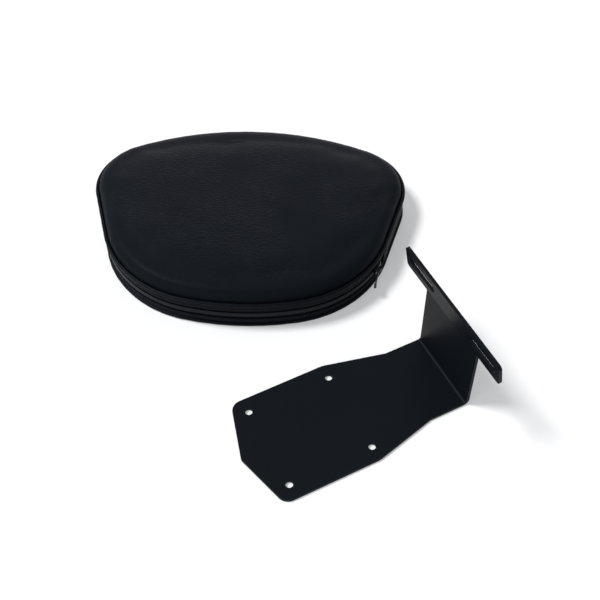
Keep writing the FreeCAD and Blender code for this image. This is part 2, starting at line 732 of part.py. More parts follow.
def build_pull():
    body = new_body("zip_pull")
    arm_inner = "(Sizes.bail_width / 2 + Sizes.pull_clearance)"
    arm_outer = f"({arm_inner} + Sizes.pull_arm)"
    eye_end = "(Sizes.bail_window / 2 + Sizes.bail_bar + 3 * Sizes.pull_clearance)"
    half = "Sizes.pull_thickness / 2"
    blade = new_sketch(body, "pull_blade_side")
    add_rectangle(blade, f"-{half}", "-Sizes.pull_length", half, "0")
    add_feature(body, "Pad", "pull_blade", blade, f"2 * {arm_outer}", "Symmetric")
    eye = new_sketch(body, "pull_eye", "YZ_Plane")
    add_rectangle(eye, f"-{eye_end}", f"-{arm_inner}", "Sizes.pull_pin", arm_inner)
    add_feature(body, "Pocket", "pull_eye_cut", eye, "Sizes.pull_thickness * 2", "Symmetric")
    pin = new_sketch(body, "pull_pin_section")
    add_circle(pin, "0", "0", "Sizes.pull_pin")
    add_feature(body, "Pad", "pull_pin_bar", pin, f"2 * {arm_outer}", "Symmetric")
    bead = new_sketch(body, "pull_bead_section")
    add_circle(bead, "0", "-Sizes.pull_length", "Sizes.pull_bead")
    add_feature(body, "Pad", "pull_bead_roll", bead, f"2 * {arm_outer}", "Symmetric")
    pin_centre = (size("tooth_height") + size("slider_clearance") + size("slider_wall")
                  + size("pull_clearance") / 2 + size("pull_pin") / 2)
    body.Placement = slider_place() * Placement(
        Vector(pin_centre, 0, 0), Rotation(Vector(0, 0, 1), size("pull_lift")))
    return body


foam = build_foam()
subparts = [
    build_bracket(),
    build_front_panel(foam),
    build_back_panel(),
    build_ring("upper_band", band_inset, band_inner, band_low, band_high, cut_below=split_line),
    build_ring("band_front_strip", band_inset, band_inner, zip_high, band_high, cut_above=split_line),
    build_ring("band_back_strip", band_inset, band_inner, band_low, zip_low, cut_above=split_line),
    build_piping("front_piping", size("front_seam_height")),
    build_piping("back_piping", piping_inset_value),
    build_stringer("zip_stringer_front", 1),
    build_stringer("zip_stringer_back", -1),
    build_stop("zip_stop_right", stop_distance()),
    build_stop("zip_stop_left", zip_run(tape_face_value) - stop_distance()),
    build_tab("zip_tab_right", 1),
    build_tab("zip_tab_left", -1),
    build_slider(),
    build_pull(),
    foam,
    build_board(),
    build_nut("tee_nut_left", -1),
    build_nut("tee_nut_right", 1),
]
doc.recompute()

for item in doc.Objects:
    if "Invalid" in item.State or "Error" in item.State:
        raise RuntimeError(f"{item.Label} failed: {item.State}")
for part in subparts:
    if part.Shape.isNull() or not part.Shape.isValid():
        raise RuntimeError(f"{part.Label} has no valid shape")

os.makedirs("parts", exist_ok=True)
for part in subparts:
    part.Shape.exportStep(f"parts/{part.Label}.step")
    box = part.Shape.BoundBox
    print(f"{part.Label}: {len(part.Shape.Solids)} solid, {part.Shape.Volume:.0f} mm3")
    print(f"  {box.XLength:.1f} x {box.YLength:.1f} x {box.ZLength:.1f} mm, from z {box.ZMin:.2f}")
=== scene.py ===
import bpy
import math
import numpy as np
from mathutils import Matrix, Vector


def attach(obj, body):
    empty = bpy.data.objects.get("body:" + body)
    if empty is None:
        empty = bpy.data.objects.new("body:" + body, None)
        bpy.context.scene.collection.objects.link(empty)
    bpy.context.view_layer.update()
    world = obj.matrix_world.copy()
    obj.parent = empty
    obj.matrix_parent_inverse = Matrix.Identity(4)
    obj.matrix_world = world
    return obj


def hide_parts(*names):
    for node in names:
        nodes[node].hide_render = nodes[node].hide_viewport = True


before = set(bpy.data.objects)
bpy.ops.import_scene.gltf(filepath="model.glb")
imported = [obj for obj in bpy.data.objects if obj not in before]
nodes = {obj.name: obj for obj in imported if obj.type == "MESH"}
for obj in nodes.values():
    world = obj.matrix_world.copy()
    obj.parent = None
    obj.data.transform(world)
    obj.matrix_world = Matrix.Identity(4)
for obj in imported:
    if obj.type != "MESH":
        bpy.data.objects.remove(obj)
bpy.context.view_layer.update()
bpy.context.scene.view_settings.view_transform = "Standard"
print("frame loaded,", len(nodes), "nodes")

millimetre = 0.001


# shader maths

class Finish:  # a socket of a node tree, with arithmetic and one method for any other node
    def __init__(self, tree, socket=None):
        self.tree = tree
        self.socket = socket

    def node(self, kind, settings=None, sockets=None, output=0):
        made = self.tree.nodes.new(kind)
        for name, value in (settings or {}).items():
            if name == "stops":
                made.color_ramp.interpolation = "EASE"
                for stop, (place, colour) in zip(made.color_ramp.elements, value):
                    stop.position = place
                    stop.color = colour
            else:
                setattr(made, name, value)
        for name, value in (sockets or {}).items():
            if isinstance(value, Finish):
                self.tree.links.new(value.socket, made.inputs[name])
            else:
                made.inputs[name].default_value = value
        return Finish(self.tree, made.outputs[output])

    def maths(self, operation, first, second=0.0):
        return self.node("ShaderNodeMath", {"operation": operation}, {0: first, 1: second})

    def __add__(self, other):
        return self.maths("ADD", self, other)

    def __radd__(self, other):
        return self.maths("ADD", other, self)

    def __sub__(self, other):
        return self.maths("SUBTRACT", self, other)

    def __rsub__(self, other):
        return self.maths("SUBTRACT", other, self)

    def __mul__(self, other):
        return self.maths("MULTIPLY", self, other)

    def __rmul__(self, other):
        return self.maths("MULTIPLY", other, self)

    def ramp(self, low, high):  # 0 below low, 1 above high, smooth between
        sockets = {"Value": self, "From Min": low, "From Max": high}
        return self.node("ShaderNodeMapRange", {"interpolation_type": "SMOOTHSTEP"}, sockets)

    def blend(self, first, second):  # from the first colour to the second as this goes from 0 to 1
        sockets = {"Factor": self, 6: first, 7: second}  # the mix node's colour sockets
        return self.node("ShaderNodeMix", {"data_type": "RGBA"}, sockets, output=2)

    def colours(self, places, first, second):  # the same between two places, on a colour ramp
        stops = list(zip(places, (first, second)))
        return self.node("ShaderNodeValToRGB", {"stops": stops}, {"Fac": self})

    def noise(self, scale, detail=2.0, roughness=0.5, output=0):
        sockets = {"Vector": self, "Scale": scale, "Detail": detail, "Roughness": roughness}
        return self.node("ShaderNodeTexNoise", None, sockets, output)

    def cells(self, scale, feature, randomness=1.0):
        sockets = {"Vector": self, "Scale": scale, "Randomness": randomness}
        return self.node("ShaderNodeTexVoronoi", {"feature": feature}, sockets)

    def bump(self):  # this value is a height in millimetres
        sockets = {"Distance": millimetre, "Strength": 1.0, "Height": self}
        return self.node("ShaderNodeBump", None, sockets)


def newFinish(name, look):
    material = bpy.data.materials.new(name)
    material.use_nodes = True
    tree = material.node_tree
    shader = next(node for node in tree.nodes if node.type == "BSDF_PRINCIPLED")
    fixed = {"Base Color": look["deep"], "Roughness": look["roughness"], **look.get("fixed", {})}
    for socket, value in fixed.items():
        shader.inputs[socket].default_value = value

    def feed(socket, value):
        tree.links.new(value.socket, shader.inputs[socket])

    return material, Finish(tree), feed


def objectPlace(start, turn=0.0, scale=(1.0, 1.0, 1.0)):  # turned first, then scaled
    place = start.node("ShaderNodeTexCoord", output="Object")
    rotation = (0.0, 0.0, math.radians(turn))
    turned = start.node("ShaderNodeMapping", None, {"Vector": place, "Rotation": rotation})
    return start.node("ShaderNodeMapping", None, {"Vector": turned, "Scale": scale})


def seenRays(start):  # 1 for what the camera sees, also in gloss or through glass, else 0
    kinds = ["Is Camera Ray", "Is Glossy Ray", "Is Transmission Ray"]
    camera, glossy, through = [start.node("ShaderNodeLightPath", output=kind) for kind in kinds]
    return camera + glossy + through


# camera, floor and lamps

studio = {
    "cameraPlace": (-0.2222, -0.4165, 0.7991), "cameraPitch": 52.0, "cameraHeading": -27.0,
    "lens": 60.0, "nearest": 0.01,
    "floorSize": 14.0, "floorDrop": 0.0003, "floorColour": (0.92, 0.92, 0.92, 1.0), "floorGlow": 0.32,
    "skyColour": (0.86, 0.93, 1.0, 1.0), "skyStrength": 0.34, "white": (1.0, 1.0, 1.0, 1.0),
    "sunTowards": (-0.43, 0.31, 0.848), "sunStrength": 2.9, "sunSpread": 16.0,
    "lamps": [  # name, place, aimed at, width, height, watts
        ("rimLamp", (0.57, 1.3, 0.30), (0.06, 0.26, 0.04), 1.3, 0.30, 6.0),
        ("sideLamp", (-1.2, -0.35, 0.5), (0.12, 0.0, 0.05), 0.7, 0.5, 4.0),
    ],
}


def setCamera():
    bpy.ops.object.select_all(action="DESELECT")
    tilt = math.radians(90 - studio["cameraPitch"])
    heading = math.radians(studio["cameraHeading"])
    bpy.ops.object.camera_add(location=studio["cameraPlace"], rotation=(tilt, 0, heading))
    camera = bpy.context.object
    camera.data.lens = studio["lens"]
    camera.data.clip_start = studio["nearest"]
    bpy.context.scene.camera = camera


def layFloor():
    place = (0, 0, -studio["floorDrop"])
    bpy.ops.mesh.primitive_plane_add(size=studio["floorSize"], location=place)
    floor = bpy.context.object
    floor.name = "studioFloor"
    material = bpy.data.materials.new("paleFloor")
    material.use_nodes = True
    tree = material.node_tree
    tree.nodes.clear()
    start = Finish(tree)
    matt = start.node("ShaderNodeBsdfDiffuse", None, {"Color": studio["floorColour"]})
    glow = start.node("ShaderNodeEmission", None, {"Strength": 1.0})
    share = seenRays(start) * studio["floorGlow"]
    mixed = start.node("ShaderNodeMixShader", None, {0: share, 1: matt, 2: glow})
    surface = tree.nodes.new("ShaderNodeOutputMaterial")
    tree.links.new(mixed.socket, surface.inputs["Surface"])
    floor.data.materials.append(material)


def setSky():  # white to look at, a pale blue light on the object
    world = bpy.data.worlds.new("studioSky")
    bpy.context.scene.world = world
    world.use_nodes = True
    tree = world.node_tree
    sky = tree.nodes["Background"]
    seen = seenRays(Finish(tree))
    colour = seen.blend(studio["skyColour"], studio["white"])
    strength = studio["skyStrength"] + seen * (1.0 - studio["skyStrength"])
    tree.links.new(colour.socket, sky.inputs["Color"])
    tree.links.new(strength.socket, sky.inputs["Strength"])


def setLamps():
    bpy.ops.object.light_add(type="SUN", location=studio["sunTowards"])
    sun = bpy.context.object
    sun.name = "keySun"
    sun.data.energy = studio["sunStrength"]
    sun.data.angle = math.radians(studio["sunSpread"])
    sun.rotation_euler = sun.location.to_track_quat("Z", "Y").to_euler()
    for name, place, target, width, height, watts in studio["lamps"]:
        bpy.ops.object.light_add(type="AREA", location=place)
        lamp = bpy.context.object
        lamp.name = name
        lamp.data.shape = "RECTANGLE"
        lamp.data.size = width
        lamp.data.size_y = height
        lamp.data.energy = watts
        away = lamp.location - Vector(target)
        lamp.rotation_euler = away.to_track_quat("Z", "Y").to_euler()


# cushion edge: pieces are modelled straight, then wrapped round it

cushion = {
    "centre": (0.0527, 0.243), "turn": -29.0, "width": 0.330, "height": 0.244,
    "topRadius": 0.320, "shoulderRadius": 0.060, "sideTaper": 16.5,
    "hipRadius": 0.118, "bottomRadius": 0.272, "arcSteps": 500, "mergeWithin": 0.00002,
    "bandInset": 0.002, "coverThickness": 0.0012, "frontSeam": 0.032, "pipingRadius": 0.002,
    "zipHeight": 0.017, "zipOpening": 0.012, "zipEndDrop": 0.034,
}


def edgeArcs():  # centre, radius, first and last angle, counter-clockwise from the top's right end
    size = cushion
    taper = math.radians(size["sideTaper"])
    half = math.pi
    top = np.array([0.0, size["height"] / 2 - size["topRadius"]])
    bottom = np.array([0.0, size["bottomRadius"] - size["height"] / 2])
    shoulderOut = size["width"] / 2 - size["shoulderRadius"]
    toShoulder = size["topRadius"] - size["shoulderRadius"]
    shoulder = np.array([shoulderOut, top[1] + math.sqrt(toShoulder ** 2 - shoulderOut ** 2)])
    # the hip's centre lies on a line beside the straight side, where it touches the bottom arc
    sideOut = np.array([math.cos(taper), -math.sin(taper)])
    down = np.array([-math.sin(taper), -math.cos(taper)])
    sideLine = shoulder + sideOut * (size["shoulderRadius"] - size["hipRadius"])
    reach = sideLine - bottom
    toHip = size["bottomRadius"] - size["hipRadius"]
    along = math.sqrt((reach @ down) ** 2 - reach @ reach + toHip ** 2) - reach @ down
    hip = sideLine + down * along
    shoulderAngle = math.atan2(shoulder[1] - top[1], shoulder[0])
    hipAngle = math.atan2(hip[1] - bottom[1], hip[0])
    mirror = np.array([-1.0, 1.0])
    return [
        (top, size["topRadius"], shoulderAngle, half - shoulderAngle),
        (shoulder * mirror, size["shoulderRadius"], half - shoulderAngle, half + taper),
        (hip * mirror, size["hipRadius"], half + taper, half - hipAngle),
        (bottom, size["bottomRadius"], half - hipAngle, 2 * half + hipAngle),
        (hip, size["hipRadius"], 2 * half + hipAngle, 2 * half - taper),
        (shoulder, size["shoulderRadius"], 2 * half - taper, 2 * half + shoulderAngle),
    ]


def edgeLine():  # the run along the band's outline, its points and their outward directions
    points = []
    outward = []
    for centre, radius, first, last in edgeArcs():
        angles = np.linspace(first, last, cushion["arcSteps"])
        direction = np.stack([np.cos(angles), np.sin(angles)], axis=1)
        points.append(centre + direction * (radius - cushion["bandInset"]))
        outward.append(direction)
    points = np.concatenate(points + [points[0][:1]])
    outward = np.concatenate(outward + [outward[0][:1]])
    steps = np.linalg.norm(np.diff(points, axis=0), axis=1)
    run = np.concatenate([[0.0], np.cumsum(steps)])
    return run, points, outward


edgeRun, edgePoints, edgeOutward = edgeLine()
perimeter = edgeRun[-1]


def onEdge(run, out):  # places on the cushion, out from the edge at each run
    places = []
    for k in range(2):
        direction = np.interp(run, edgeRun, edgeOutward[:, k])
        places.append(np.interp(run, edgeRun, edgePoints[:, k]) + out * direction)
    return np.stack(places, axis=1)


def turnAbout(places, degrees):
    cosine = math.cos(math.radians(degrees))
    sine = math.sin(math.radians(degrees))
    x, y = places[:, 0], places[:, 1]
    return np.stack([x * cosine - y * sine, x * sine + y * cosine], axis=1)


def toFloor(local):  # cushion's own axes to the shared frame
    return turnAbout(local, cushion["turn"]) + np.array(cushion["centre"])


def toCushion(places):  # the way back
    return turnAbout(places[:, :2] - np.array(cushion["centre"]), -cushion["turn"])


def zipEnd(side):  # run at which the zip ends, on the right (1) or the left (-1)
    onSide = edgePoints[:, 0] * side > 0
    low = edgePoints[:, 1] < 0
    gap = np.where(onSide & low, np.abs(edgePoints[:, 1] + cushion["zipEndDrop"]), math.inf)
    return edgeRun[int(np.argmin(gap))]


zipLeft, zipRight = zipEnd(-1), zipEnd(1)


def readPoints(piece):
    places = np.empty(len(piece.data.vertices) * 3)
    piece.data.vertices.foreach_get("co", places)
    return places.reshape(-1, 3)


def writePoints(piece, places):
    piece.data.vertices.foreach_set("co", places.ravel())
    piece.data.update()


def keepValue(piece, name, values):  # for the finishes to read
    attribute = piece.data.attributes.new(name, "FLOAT", "POINT")
    attribute.data.foreach_set("value", values.astype(np.float32))


def pick(piece):  # selected alone, and active
    bpy.ops.object.select_all(action="DESELECT")
    piece.select_set(True)
    bpy.context.view_layer.objects.active = piece


def wrapRound(piece):  # x is the run along the edge, y outwards, z the height
    places = readPoints(piece)
    keepValue(piece, "run", places[:, 0])
    places[:, :2] = toFloor(onEdge(places[:, 0] % perimeter, places[:, 1]))
    writePoints(piece, places)
    pick(piece)
    bpy.ops.object.mode_set(mode="EDIT")
    bpy.ops.mesh.select_all(action="SELECT")
    bpy.ops.mesh.remove_doubles(threshold=cushion["mergeWithin"])
    bpy.ops.mesh.normals_make_consistent(inside=False)
    bpy.ops.object.mode_set(mode="OBJECT")
    bpy.ops.object.shade_smooth()


ripple = {  # lengths are in pitches
    "drift": 1.1, "driftLength": 5.3, "slowDrift": 0.7, "slowLength": 11.9,
    "level": 0.62, "change": 0.38, "changeLength": 7.1, "changeStart": 2.3,
}


def waver(run, pitch, seed):  # uneven ripple between -1 and 1 along the edge
    turns = run * 2 * math.pi / pitch
    drift = ripple["drift"] * np.sin(turns / ripple["driftLength"] + seed)
    drift += ripple["slowDrift"] * np.sin(turns / ripple["slowLength"])
    change = np.sin(turns / ripple["changeLength"] + ripple["changeStart"] * seed)
    return (ripple["level"] + ripple["change"] * change) * np.sin(turns + drift)


def addStrip(name, first, last, low, high, along, up):  # straight strip that faces outwards
    bpy.ops.object.select_all(action="DESELECT")
    middle = ((first + last) / 2, 0.0, (low + high) / 2)
    bpy.ops.mesh.primitive_grid_add(x_subdivisions=along, y_subdivisions=up, size=1,
                                    rotation=(-math.pi / 2, 0, 0), location=middle)
    strip = bpy.context.object
    strip.name = name
    strip.scale = (last - first, high - low, 1)
    bpy.ops.object.transform_apply(location=True, rotation=True, scale=True)
    return strip


def applyModifier(piece, kind, **settings):
    pick(piece)
    modifier = piece.modifiers.new(kind.lower(), kind)
    for name, value in settings.items():
        setattr(modifier, name, value)
    bpy.ops.object.modifier_apply(modifier=modifier.name)


def fitPiece(piece, material, slotName, *replaced):
    piece.data.materials.clear()
    piece.data.materials.append(material)
    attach(piece, "backrest")
    if replaced:
        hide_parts(*replaced)


# finishes: depths are in millimetres, scales in features per metre

# painted reflection colour: a blue tint on the specular of vinyl, piping, zip tape and powder coat,
# standing in for the pale blue sky, which glossy rays see as white
paintedSkySheenTint = (0.75, 0.89, 1.0, 1.0)

vinylLook = {
    "deep": (0.0038, 0.0049, 0.0070, 1.0), "pale": (0.0060, 0.0072, 0.0098, 1.0),
    "fixed": {"Specular IOR Level": 0.030, "Specular Tint": paintedSkySheenTint},
    "roughness": 0.38, "cloudRoughness": 0.12, "creaseRoughness": 0.08,
    "swirlScale": 55.0, "swirlDetail": 3.0, "warp": 0.007, "stretch": (1.0, 2.1, 2.1),
    "creaseScale": 125.0, "creaseWidth": 0.16, "creaseDepth": 0.14, "creaseTone": 0.3,
    "fineScale": 330.0, "fineWidth": 0.25, "fineDepth": 0.065,
    "grainScale": 780.0, "grainUneven": 0.9, "grainDepth": 0.035,
    "patchScale": 13.0, "patchDetail": 3.0, "patchRange": (0.36, 0.62), "leastCreased": 0.25,
    "creasedFrom": (0.009, 0.026), "bandShare": 0.35,  # metres in from the seam; share left on the bands
    "cloudScale": 22.0, "cloudDetail": 4.0, "cloudTone": 0.6,
}


def vinylFinish(name, creased):
    look = vinylLook
    material, start, feed = newFinish(name, look)
    place = objectPlace(start, -cushion["turn"])
    swirl = place.noise(look["swirlScale"], look["swirlDetail"], output="Color")
    warped = start.node("ShaderNodeVectorMath", {"operation": "MULTIPLY_ADD"},
                        {0: swirl, 1: (look["warp"],) * 3, 2: place})
    stretched = start.node("ShaderNodeVectorMath", {"operation": "MULTIPLY"},
                           {0: warped, 1: look["stretch"]})
    creases = stretched.cells(look["creaseScale"], "DISTANCE_TO_EDGE").ramp(0.0, look["creaseWidth"])
    fine = stretched.cells(look["fineScale"], "DISTANCE_TO_EDGE").ramp(0.0, look["fineWidth"])
    grain = place.cells(look["grainScale"], "F1", look["grainUneven"])
    patches = place.noise(look["patchScale"], look["patchDetail"]).ramp(*look["patchRange"])
    strength = look["leastCreased"] + (1 - look["leastCreased"]) * patches
    if creased:
        inside = start.node("ShaderNodeAttribute", {"attribute_name": "fromSeam"}, None, "Fac")
        strength = strength * inside.ramp(*look["creasedFrom"])
    else:
        strength = strength * look["bandShare"]
    folds = (creases * look["creaseDepth"] + fine * look["fineDepth"]) * strength
    feed("Normal", (folds - grain * look["grainDepth"]).bump())
    cloud = place.noise(look["cloudScale"], look["cloudDetail"])
    inCrease = 1 - creases
    tone = cloud * look["cloudTone"] + inCrease * strength * look["creaseTone"]
    feed("Base Color", tone.blend(look["deep"], look["pale"]))
    matt = look["roughness"] + cloud * look["cloudRoughness"]
    feed("Roughness", matt + inCrease * look["creaseRoughness"])
    return material


pipingLook = {
    "deep": (0.0012, 0.0017, 0.0028, 1.0), "pale": (0.0028, 0.0034, 0.0048, 1.0),
    "fixed": {"Specular IOR Level": 0.06, "Specular Tint": paintedSkySheenTint},
    "roughness": 0.35, "cloudRoughness": 0.12, "cloudScale": 60.0, "cloudDetail": 3.0,
    "rippleTurns": 1500.0, "rippleShift": 6.0, "shiftScale": 160.0, "rippleDepth": 0.03,
    "grainScale": 900.0, "grainUneven": 0.9, "grainDepth": 0.03,
}


def pipingFinish():
    look = pipingLook
    material, start, feed = newFinish("pipingVinyl", look)
    run = start.node("ShaderNodeAttribute", {"attribute_name": "run"}, None, "Fac")
    place = objectPlace(start)
    shift = place.noise(look["shiftScale"]) * look["rippleShift"]
    ripples = start.maths("SINE", run * look["rippleTurns"] + shift)
    grain = place.cells(look["grainScale"], "F1", look["grainUneven"])
    feed("Normal", (ripples * look["rippleDepth"] - grain * look["grainDepth"]).bump())
    cloud = place.noise(look["cloudScale"], look["cloudDetail"])
    feed("Base Color", cloud.blend(look["deep"], look["pale"]))
    feed("Roughness", look["roughness"] + cloud * look["cloudRoughness"])
    return material


threadLook = {
    "deep": (0.004, 0.004, 0.006, 1.0), "pale": (0.012, 0.012, 0.015, 1.0), "roughness": 0.6,
    "fixed": {"Specular IOR Level": 0.15}, "twistScale": 2600.0, "twistDetail": 1.0, "twistDepth": 0.05,
}


def threadFinish():
    look = threadLook
    material, start, feed = newFinish("blackThread", look)
    twist = objectPlace(start).noise(look["twistScale"], look["twistDetail"])
    feed("Normal", (twist * look["twistDepth"]).bump())
    feed("Base Color", twist.blend(look["deep"], look["pale"]))
    return material


zipTapeLook = {
    "deep": (0.003, 0.0035, 0.005, 1.0), "pale": (0.009, 0.0095, 0.012, 1.0), "roughness": 0.8,
    "fixed": {"Specular IOR Level": 0.09, "Specular Tint": paintedSkySheenTint},
    "teethColour": (0.006, 0.0068, 0.009, 1.0), "teethRoughness": 0.38,
    "tapeFrom": (0.0029, 0.0033),  # metres from the middle of the zip
    "ribTurns": 7000.0, "ribDepth": 0.06,
    "threadScale": 1700.0, "threadDetail": 1.0, "threadDepth": 0.12,
}


def zipTapeFinish():
    look = zipTapeLook
    material, start, feed = newFinish("zipTapeAndTeeth", look)
    place = objectPlace(start)
    height = start.node("ShaderNodeSeparateXYZ", None, {0: place}, "Z")
    tape = start.maths("ABSOLUTE", height - cushion["zipHeight"]).ramp(*look["tapeFrom"])
    ribs = start.maths("SINE", height * look["ribTurns"])
    threads = place.noise(look["threadScale"], look["threadDetail"])
    feed("Normal", ((ribs * look["ribDepth"] + threads * look["threadDepth"]) * tape).bump())
    woven = threads.blend(look["deep"], look["pale"])
    feed("Base Color", tape.blend(look["teethColour"], woven))
    feed("Roughness", look["teethRoughness"] + tape * (look["roughness"] - look["teethRoughness"]))
    return material


enamelLook = {
    "deep": (0.006, 0.0065, 0.008, 1.0), "pale": (0.022, 0.022, 0.025, 1.0),
    "fixed": {"Specular IOR Level": 0.24}, "roughness": 0.26, "cloudRoughness": 0.14,
    "cloudScale": 420.0, "cloudDetail": 3.0, "peelScale": 900.0, "peelDepth": 0.03,
}


def enamelFinish():
    look = enamelLook
    material, start, feed = newFinish("zipEnamel", look)
    place = objectPlace(start)
    cloud = place.noise(look["cloudScale"], look["cloudDetail"])
    feed("Base Color", cloud.blend(look["deep"], look["pale"]))
    feed("Roughness", look["roughness"] + cloud * look["cloudRoughness"])
    feed("Normal", (place.noise(look["peelScale"]) * look["peelDepth"]).bump())
    return material


powderLook = {
    "deep": (0.0033, 0.0042, 0.0058, 1.0), "pale": (0.0049, 0.0059, 0.0078, 1.0),
    "fixed": {"Specular IOR Level": 0.050, "Specular Tint": paintedSkySheenTint},
    "roughness": 0.37, "cloudRoughness": 0.1, "cloudScale": 16.0, "cloudDetail": 4.0, "cloudTone": 0.7,
    "peelScale": 620.0, "peelDetail": 2.0, "peelRoughness": 0.6, "peelDepth": 0.045,
    "speckScale": 2400.0, "speckDetail": 1.0, "speckDepth": 0.012, "speckTone": 0.3,
}


def powderFinish():
    look = powderLook
    material, start, feed = newFinish("blackPowderCoat", look)
    place = objectPlace(start)
    peel = place.noise(look["peelScale"], look["peelDetail"], look["peelRoughness"])
    speck = place.noise(look["speckScale"], look["speckDetail"])
    feed("Normal", (peel * look["peelDepth"] + speck * look["speckDepth"]).bump())
    cloud = place.noise(look["cloudScale"], look["cloudDetail"])
    tone = cloud * look["cloudTone"] + speck * look["speckTone"]
    feed("Base Color", tone.blend(look["deep"], look["pale"]))
    feed("Roughness", look["roughness"] + cloud * look["cloudRoughness"])
    return material


foamLook = {
    "deep": (0.5, 0.44, 0.3, 1.0), "pale": (0.78, 0.72, 0.56, 1.0), "roughness": 0.95,
    "poreScale": 1400.0, "poreDepth": 0.4, "poreRange": (0.0, 0.6),
}


def foamFinish():
    look = foamLook
    material, start, feed = newFinish("upholsteryFoam", look)
    pores = objectPlace(start).cells(look["poreScale"], "F1")
    feed("Normal", (pores * look["poreDepth"]).bump())
    feed("Base Color", pores.colours(look["poreRange"], look["deep"], look["pale"]))
    return material


plywoodLook = {
    "deep": (0.42, 0.3, 0.17, 1.0), "pale": (0.66, 0.52, 0.35, 1.0), "roughness": 0.7,
    "stretch": (9.0, 160.0, 160.0), "grainScale": 2.4, "grainDetail": 5.0, "grainRange": (0.3, 0.7),
    "grainDepth": 0.05,
}


def plywoodFinish():
    look = plywoodLook
    material, start, feed = newFinish("birchPlywood", look)
    place = objectPlace(start, -cushion["turn"], look["stretch"])
    grain = place.noise(look["grainScale"], look["grainDetail"])
    feed("Base Color", grain.colours(look["grainRange"], look["deep"], look["pale"]))
    feed("Normal", (grain * look["grainDepth"]).bump())
    return material


zincLook = {
    "deep": (0.5, 0.5, 0.47, 1.0), "pale": (0.68, 0.68, 0.65, 1.0), "fixed": {"Metallic": 1.0},
    "roughness": 0.28, "cloudRoughness": 0.18, "cloudScale": 300.0, "cloudDetail": 3.0,
}


def zincFinish():
    look = zincLook
    material, start, feed = newFinish("zincPlate", look)
    cloud = objectPlace(start).noise(look["cloudScale"], look["cloudDetail"])
    feed("Base Color", cloud.blend(look["deep"], look["pale"]))
    feed("Roughness", look["roughness"] + cloud * look["cloudRoughness"])
    return material


# bracket: the folded sheet with its coated, slightly rounded edges

bracketEdges = {
    "mergeWithin": 0.000002, "flatWithin": 0.6, "sharpFrom": 30.0, "rounding": 0.0006, "steps": 2,
    "flatWeight": 90,
}


def makeBracket(material):
    edges = bracketEdges
    bracket = bpy.data.objects.new("coatedBracket", nodes["mounting_bracket"].data.copy())
    bpy.context.collection.objects.link(bracket)
    pick(bracket)
    bpy.ops.object.mode_set(mode="EDIT")
    bpy.ops.mesh.select_all(action="SELECT")
    bpy.ops.mesh.remove_doubles(threshold=edges["mergeWithin"])
    bpy.ops.mesh.dissolve_limited(angle_limit=math.radians(edges["flatWithin"]))
    bpy.ops.mesh.select_all(action="DESELECT")
    bpy.ops.mesh.select_mode(type="EDGE")
    bpy.ops.mesh.edges_select_sharp(sharpness=math.radians(edges["sharpFrom"]))
    bpy.ops.mesh.bevel(offset=edges["rounding"], segments=edges["steps"], clamp_overlap=True)
    bpy.ops.object.mode_set(mode="OBJECT")
    bpy.ops.object.shade_smooth()
    applyModifier(bracket, "WEIGHTED_NORMAL", mode="FACE_AREA", weight=edges["flatWeight"],
                  keep_sharp=False)
    fitPiece(bracket, material, "powder_coat", "mounting_bracket")
    print("bracket made,", len(bracket.data.polygons), "faces")


# cushion face: a crowned block that swells under cloth pressure, sewn down at the front seam

faceForm = {
    "rimPoints": 220, "rimInset": 0.004, "rimLow": 0.0006, "wall": 0.0024, "voxel": 0.004,
    "rollWide": 0.0135, "rollHigh": 0.0115, "rollSteps": 6,
    "crown": [(0.014, 0.0009), (0.018, 0.0008)],  # in and up
    "pinnedBelow": 0.003, "frames": 20, "largestMove": 0.002, "stillBelow": 1e-9, "evenSteps": 10,
    "smoothing": 0.5, "firstSmooth": 2, "lastSmooth": 3, "overFoam": 0.0013,
    "sewnRim": 0.0008, "puckerPitch": 0.019, "puckerDepth": 0.00018, "puckerReach": 0.007,
    "puckerSeed": 0.7, "hollowDepth": 0.0002, "hollowReach": 0.02, "hollowAcross": 61, "hollowBow": 1.2,
    "bowUp": 47, "hollowUp": 73, "hollowStart": 0.8,
    "lineStep": 3, "batch": 2000,  # every third point of the seam, so many points of the face at a time
}

clothForm = {
    "quality": 6, "mass": 0.3, "tension_stiffness": 18, "compression_stiffness": 18, "shear_stiffness": 8,
    "bending_stiffness": 1.5, "use_pressure": True, "uniform_pressure_force": 4.0,
}


def fromSeam(places):  # distance in from the front seam, and the run along it, for each point
    inset = cushion["bandInset"] - faceForm["rimInset"]
    line = (edgePoints + inset * edgeOutward)[::faceForm["lineStep"]]
    lineRun = edgeRun[::faceForm["lineStep"]]
    local = toCushion(places)
    distance = np.empty(len(local))
    run = np.empty(len(local))
    for first in range(0, len(local), faceForm["batch"]):
        part = slice(first, first + faceForm["batch"])
        gaps = np.linalg.norm(local[part, None, :] - line[None, :, :], axis=2)
        distance[part] = gaps.min(axis=1)
        run[part] = lineRun[gaps.argmin(axis=1)]
    return distance, run


